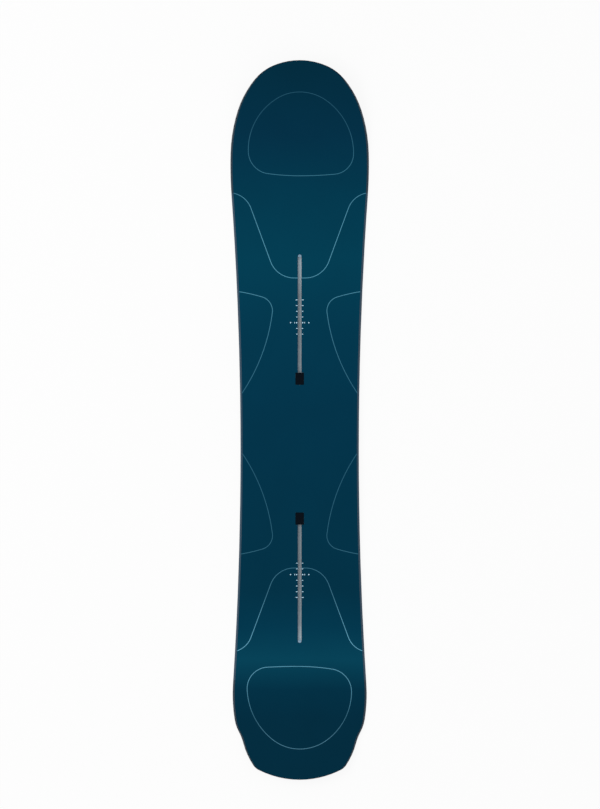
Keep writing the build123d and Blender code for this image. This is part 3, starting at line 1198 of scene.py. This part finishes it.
@dataclass(frozen=True)
class Laminate:
    """The board's layers: base, edges, glass, core, rim and topsheet.

    A bottom is a height over the running surface, and a depth lies under the deck. An inset lies inside
    the board's own outline. The rim's top shows beside the topsheet as a ledge.
    """

    base_thickness: float = 0.0013
    edge_width: float = 0.002
    middle_bottom: float = 0.002
    rim_bottom: float = 0.00285
    rim_depth: float = 0.0012
    topsheet_thickness: float = 0.0005
    rim_inset: float = 0.0005
    bevel_width: float = 0.0036
    bevel_height: float = 0.0042
    end_bevel_width: float = 0.00045
    ledge_width: float = 0.0003
    core_inset: float = 0.0082
    sidewall_nose_y: float = 0.505
    sidewall_tail_y: float = -0.578

    def build(self) -> None:
        """Build every layer that shows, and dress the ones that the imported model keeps."""
        self.base_sheet()
        self.topsheet()
        self.sidewalls()
        beyond = OUTLINE.length
        self.filler("nose_filler", self.sidewall_nose_y, beyond)
        self.filler("tail_filler", -beyond, self.sidewall_tail_y)
        for side in ("left", "right"):
            dress(f"edge_{side}", EDGE_STEEL)
            dress(f"edge_foil_{side}", DAMPING_FOIL)
            dress(f"core_stringer_{side}", HARD_WOOD)
            dress(f"core_field_{side}", LIGHT_WOOD)
        for node in ("lower_glass", "upper_glass"):
            dress(node, LAMINATE)
        dress("core_center", LIGHT_WOOD)

    def base_sheet(self) -> None:
        """The running surface between the steel edges."""
        mesh = bmesh.new()
        OUTLINE.draw(mesh, self.edge_width, self.edge_width)
        filled(mesh)
        layered(mesh, PROFILE.above_base(0.0), PROFILE.above_base(self.base_thickness))
        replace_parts(piece("running_surface", mesh, SINTERED_BASE), "base_sheet")

    def topsheet(self) -> None:
        """The printed topsheet, open over both channels."""
        mesh = bmesh.new()
        side = self.rim_inset + self.bevel_width + self.ledge_width
        end = self.rim_inset + self.end_bevel_width + self.ledge_width
        OUTLINE.draw(mesh, side, end)
        for plan in CHANNELS.plans:
            plan.draw_opening(mesh)
        filled(mesh)
        layered(mesh, PROFILE.below_deck(self.topsheet_thickness), PROFILE.below_deck(0.0))
        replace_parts(piece("printed_deck", mesh, TOPSHEET), "topsheet")

    def _rim_ring(self) -> Mesh:
        """The rim as one closed ring round the board: foot, bevel, top and inner wall.

        Returns:
            The ring's mesh.
        """
        mesh = bmesh.new()
        foot = OUTLINE.draw(mesh, self.rim_inset, self.rim_inset)
        shoulder = OUTLINE.draw(mesh, self.rim_inset, self.rim_inset)
        bevel_insets = (self.rim_inset + self.bevel_width, self.rim_inset + self.end_bevel_width)
        crest = OUTLINE.draw(mesh, *bevel_insets)
        inner_top = OUTLINE.draw(mesh, self.core_inset, self.core_inset)
        inner_foot = OUTLINE.draw(mesh, self.core_inset, self.core_inset)
        bottom = PROFILE.above_base(self.rim_bottom)
        top = PROFILE.below_deck(self.rim_depth)
        for loop, level in ((foot, bottom), (inner_foot, bottom), (crest, top), (inner_top, top)):
            for point in loop:
                point.co.z = level.at(point.co.y)
        # The bevel is equally steep all round, so it is lower where it is narrower.
        for low, high in zip(shoulder, crest):
            width = (high.co.xy - low.co.xy).length
            low.co.z = top.at(low.co.y) - self.bevel_height * width / self.bevel_width
        loops = [foot, shoulder, crest, inner_top, inner_foot]
        for pair in zip(loops, loops[1:] + loops[:1]):
            edges = [mesh.edges.get(ends) for loop in pair for ends in zip(loop, loop[1:] + loop[:1])]
            bmesh.ops.bridge_loops(mesh, edges=edges)
        outward(mesh)
        return mesh

    def sidewalls(self) -> None:
        """The two sidewalls, with their long bevel."""
        beyond = OUTLINE.length
        for side, low, high in (("left", -beyond, 0.0), ("right", 0.0, beyond)):
            mesh = self._rim_ring()
            keep_between(mesh, ALONG, self.sidewall_tail_y, self.sidewall_nose_y)
            keep_between(mesh, ACROSS, low, high)
            made = piece(f"milled_sidewall_{side}", mesh, SIDEWALL)
            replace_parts(made, f"sidewall_{side}")

    def filler(self, node: str, low: float, high: float) -> None:
        """A filler that carries the laminate round a tip.

        Args:
            node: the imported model's filler that it stands for.
            low, high: where it starts and ends along the board.
        """
        mesh = self._rim_ring()
        keep_between(mesh, ALONG, low, high)
        middle = bmesh.new()
        OUTLINE.draw(middle, self.core_inset, self.core_inset)
        filled(middle)
        layered(middle, PROFILE.above_base(self.middle_bottom), PROFILE.below_deck(self.rim_depth))
        keep_between(middle, ALONG, low, high)
        join(mesh, middle)
        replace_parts(piece(f"milled_{node}", mesh, FILLER), node)


# ---- The print ----


@dataclass(frozen=True)
class Stripe:
    """A printed line on the right half of the deck, and its mirror image or its own left half.

    It starts at a place with a heading in degrees from +X towards +Y. The gap keeps it off the
    centreline, and it is cut off at the deck's edge at the given places along the board.
    """

    name: str
    start: Pair
    heading: float
    steps: tuple[Step, ...]
    left_steps: tuple[Step, ...] = ()
    width: float = 0.0014
    gap: float = 0.0
    edges_at: tuple[float, ...] = ()
    trim_reach: float = 0.03
    fineness: float = 2.5
    weld: float = 0.0008

    def draw(self, deck_inset: float) -> Mesh:
        """Draw both halves as flat bands.

        Args:
            deck_inset: how far inside the board's outline the bands are cut off.

        Returns:
            The bands' mesh.
        """
        left = self.half(self.left_steps or self.steps, deck_inset)
        bmesh.ops.scale(left, vec=(-1, 1, 1), verts=left.verts)
        mesh = self.half(self.steps, deck_inset)
        join(mesh, left)
        bmesh.ops.remove_doubles(mesh, verts=mesh.verts, dist=self.weld)
        return mesh

    def half(self, steps: tuple[Step, ...], deck_inset: float) -> Mesh:
        """Draw one half on the right, cut off at the middle and at the deck's edge.

        Args:
            steps: the line's steps.
            deck_inset: how far inside the board's outline the band is cut off.

        Returns:
            The half's mesh.
        """
        mesh = bmesh.new()
        Pen.broad(mesh, self.width, self.start, self.heading, self.fineness).follow(steps)
        clip(mesh, mesh.verts[:], ACROSS * self.gap, -ACROSS)
        for y in self.edges_at:
            near = [v for v in mesh.verts if abs(v.co.y - y) < self.trim_reach]
            clip(mesh, near, Vector((OUTLINE.edge_x(y, deck_inset), y, 0)), ACROSS)
        return mesh


@dataclass(frozen=True)
class StanceMarks:
    """The marks beside a channel that a binding is set by, drawn in the channel's own place.

    A tick has its number from the reference on, and the angle in degrees that its end droops through.
    The reference has dots and a bar instead. A dot has its distance from the centreline, and its radius.
    """

    channel: ChannelPlan
    pitch: float = 0.0127
    inner_x: float = 0.0046
    width: float = 0.0014
    reach: float = 0.003
    droop_radius: float = 0.0016
    droops: tuple[Pair, ...] = ((-2, 4.0), (-1, 4.0), (1, 4.0), (2, 14.0), (3, 28.0), (4, 48.0))
    dots: tuple[Pair, ...] = ((0.0067, 0.0014), (0.0203, 0.0014))
    dot_sides: int = 14
    bar_x: float = 0.0111
    bar_width: float = 0.0013
    bar_length: float = 0.0032
    fineness: float = 10.0

    def draw(self) -> Mesh:
        """Draw the marks flat, on both sides of the channel.

        Returns:
            The marks' mesh.
        """
        mesh = bmesh.new()
        for number, droop in self.droops:
            tick = Pen.broad(mesh, self.width, (self.inner_x, number * self.pitch), 0.0, self.fineness)
            tick.follow((Run(self.reach), Arc(self.droop_radius, -droop)))
        bar = Pen.broad(mesh, self.bar_width, (self.bar_x, -self.bar_length / 2), 90.0, self.fineness)
        bar.run(self.bar_length)
        for x, radius in self.dots:
            settings = {"radius": radius, "matrix": Matrix.Translation(ACROSS * x)}
            bmesh.ops.create_circle(mesh, cap_ends=True, segments=self.dot_sides, **settings)
        bmesh.ops.mirror(mesh, geom=everything(mesh), axis="X", merge_dist=ON_PLANE)
        self.channel.put(mesh, mesh.verts[:])
        return mesh


@dataclass(frozen=True)
class Print:
    """The lines printed on the deck, each a thin piece sunk into the topsheet and just proud of it."""

    proud: float = 0.00004
    sunk: float = 0.0001
    deck_inset: float = 0.0047
    stripes: tuple[Stripe, ...] = (
        Stripe(
            "nose_loop",
            (0.0, 0.7296),
            0.0,
            (Arc(0.1026, -35.6), Arc(0.144, -54.7), Arc(0.0459, -84.4), Arc(0.840, -6.5)),
            (Arc(0.0959, -30.6), Arc(0.1336, -61.2), Arc(0.0508, -80.3), Arc(0.514, -9.0)),
        ),
        Stripe(
            "nose_cup",
            (0.0, 0.3162),
            0.0,
            (Run(0.0124), Arc(0.0558, 69.8), Run(0.1264), Arc(0.0528, -64.9), Run(0.006)),
            gap=0.0043,
            edges_at=(0.505,),
        ),
        Stripe(
            "front_side_curves",
            (0.1410, 0.2867),
            188.2,
            (Arc(0.400, 8.4), Arc(0.0325, 80.7), Arc(0.4136, 28.5)),
            edges_at=(0.285, 0.0596),
        ),
        Stripe(
            "rear_side_curves",
            (0.1410, -0.2995),
            172.1,
            (Arc(0.388, -8.8), Arc(0.0314, -80.3), Arc(0.4084, -30.0)),
            edges_at=(-0.299, -0.0754),
        ),
        Stripe(
            "tail_cup",
            (0.0, -0.3290),
            0.0,
            (Run(0.0124), Arc(0.0556, -69.6), Run(0.1262), Arc(0.0495, 52.7), Run(0.006)),
            gap=0.0043,
            edges_at=(-0.514,),
        ),
        Stripe(
            "tail_loop",
            (0.0, -0.7317),
            0.0,
            (Arc(0.1021, 36.4), Arc(0.1348, 52.8), Arc(0.0511, 81.5), Arc(0.452, 10.5)),
            (Arc(0.0973, 38.5), Arc(0.1496, 49.4), Arc(0.0476, 89.2), Arc(1.448, 4.0)),
        ),
    )

    def build(self) -> None:
        """Print every line, and the stance marks beside both channels."""
        for stripe in self.stripes:
            self.lay(stripe.name, stripe.draw(self.deck_inset), LINE_INK_AND_SHEEN)
        for plan in CHANNELS.plans:
            self.lay(f"{plan.name}_stance_marks", StanceMarks(plan).draw(), MARK_INK)

    def lay(self, name: str, mesh: Mesh, ink: Finish) -> None:
        """Lay flat bands on the deck as one thin piece.

        Args:
            name: the piece's name.
            mesh: the flat bands.
            ink: their finish.
        """
        deck = PROFILE.below_deck(0.0)
        layered(mesh, deck.raised(-self.sunk), deck.raised(self.proud))
        piece(name, mesh, ink)


# ---- The studio ----


@dataclass(frozen=True)
class Studio:
    """Camera, pale floor and plain soft light.

    The camera looks straight down at the centre, and what it sees at the level of the frame plane is one
    frame height high. The glow is the share of the floor's look that is white of its own.
    """

    frame_height: float = 1.79828
    frame_plane: float = 0.045
    centre: Pair = (0.0007, 0.0347)
    camera_height: float = 40.0
    clip: Pair = (1.0, 100.0)
    sensor: float = 36.0
    floor_size: float = 12.0
    floor_grey: float = 0.85
    floor_glow: float = 0.9
    ambient: float = 0.72
    key_power: float = 60.0
    key_size: float = 2.5
    key_place: tuple[float, float, float] = (-2.6, 0.6, 3.4)

    def build(self) -> None:
        """Set up the camera, the floor and the light."""
        self.camera()
        self.floor()
        self.world()
        self.key()

    def camera(self) -> None:
        """A long lens straight over the board."""
        data = bpy.data.cameras.new("camera")
        data.sensor_width = self.sensor
        data.lens = self.sensor * (self.camera_height - self.frame_plane) / self.frame_height
        data.clip_start, data.clip_end = self.clip
        made = show("camera", data)
        made.location = (*self.centre, self.camera_height)
        bpy.context.scene.camera = made

    @staticmethod
    def _seen(nodes: Nodes) -> Socket:
        """Tell what is seen from what lights the part.

        Args:
            nodes: the tree that it is drawn in.

        Returns:
            1 for what the camera, a gloss or a clear piece sees, and 0 for light.
        """
        path = nodes.add("ShaderNodeLightPath").outputs
        either = nodes.combined("MAXIMUM", path["Is Camera Ray"], path["Is Glossy Ray"])
        return nodes.combined("MAXIMUM", either, path["Is Transmission Ray"])

    def floor(self) -> None:
        """A white floor that keeps the board's shadow."""
        mesh = bmesh.new()
        bmesh.ops.create_grid(mesh, x_segments=2, y_segments=2, size=self.floor_size / 2)
        data = poured("floor", mesh)
        paint = bpy.data.materials.new("floor_paint")
        paint.use_nodes = True
        nodes = Nodes(paint.node_tree)
        nodes.tree.nodes.clear()
        matt = nodes.add("ShaderNodeBsdfDiffuse", {"Color": grey(self.floor_grey)}).outputs["BSDF"]
        glow = nodes.add("ShaderNodeEmission").outputs["Emission"]
        share = nodes.combined("MULTIPLY", self._seen(nodes), self.floor_glow)
        mix = nodes.add("ShaderNodeMixShader", {"Fac": share, 1: matt, 2: glow}).outputs["Shader"]
        nodes.add("ShaderNodeOutputMaterial", {"Surface": mix})
        data.materials.append(paint)
        show("floor", data)

    def world(self) -> None:
        """An even dome of light behind a white background."""
        world = bpy.data.worlds.new("world")
        bpy.context.scene.world = world
        world.use_nodes = True
        nodes = Nodes(world.node_tree)
        strength = nodes.combined("MAXIMUM", self._seen(nodes), self.ambient)
        background = nodes.tree.nodes["Background"]
        nodes.feed(background.inputs["Color"], grey(1.0))
        nodes.feed(background.inputs["Strength"], strength)

    def key(self) -> None:
        """A large soft lamp high on the left."""
        data = bpy.data.lights.new("key", "AREA")
        data.shape = "DISK"
        data.size = self.key_size
        data.energy = self.key_power
        made = show("key", data)
        made.location = self.key_place
        made.rotation_euler = (-Vector(self.key_place)).to_track_quat("-Z", "Y").to_euler()
        made.visible_camera = False


def main() -> None:
    """Build and dress the board."""
    logging.basicConfig(level=logging.INFO, format="%(name)s: %(message)s")
    bpy.context.scene.view_settings.view_transform = "Standard"
    Studio().build()
    Laminate().build()
    Print().build()
    CHANNELS.build()


if __name__ == "__main__":
    main()
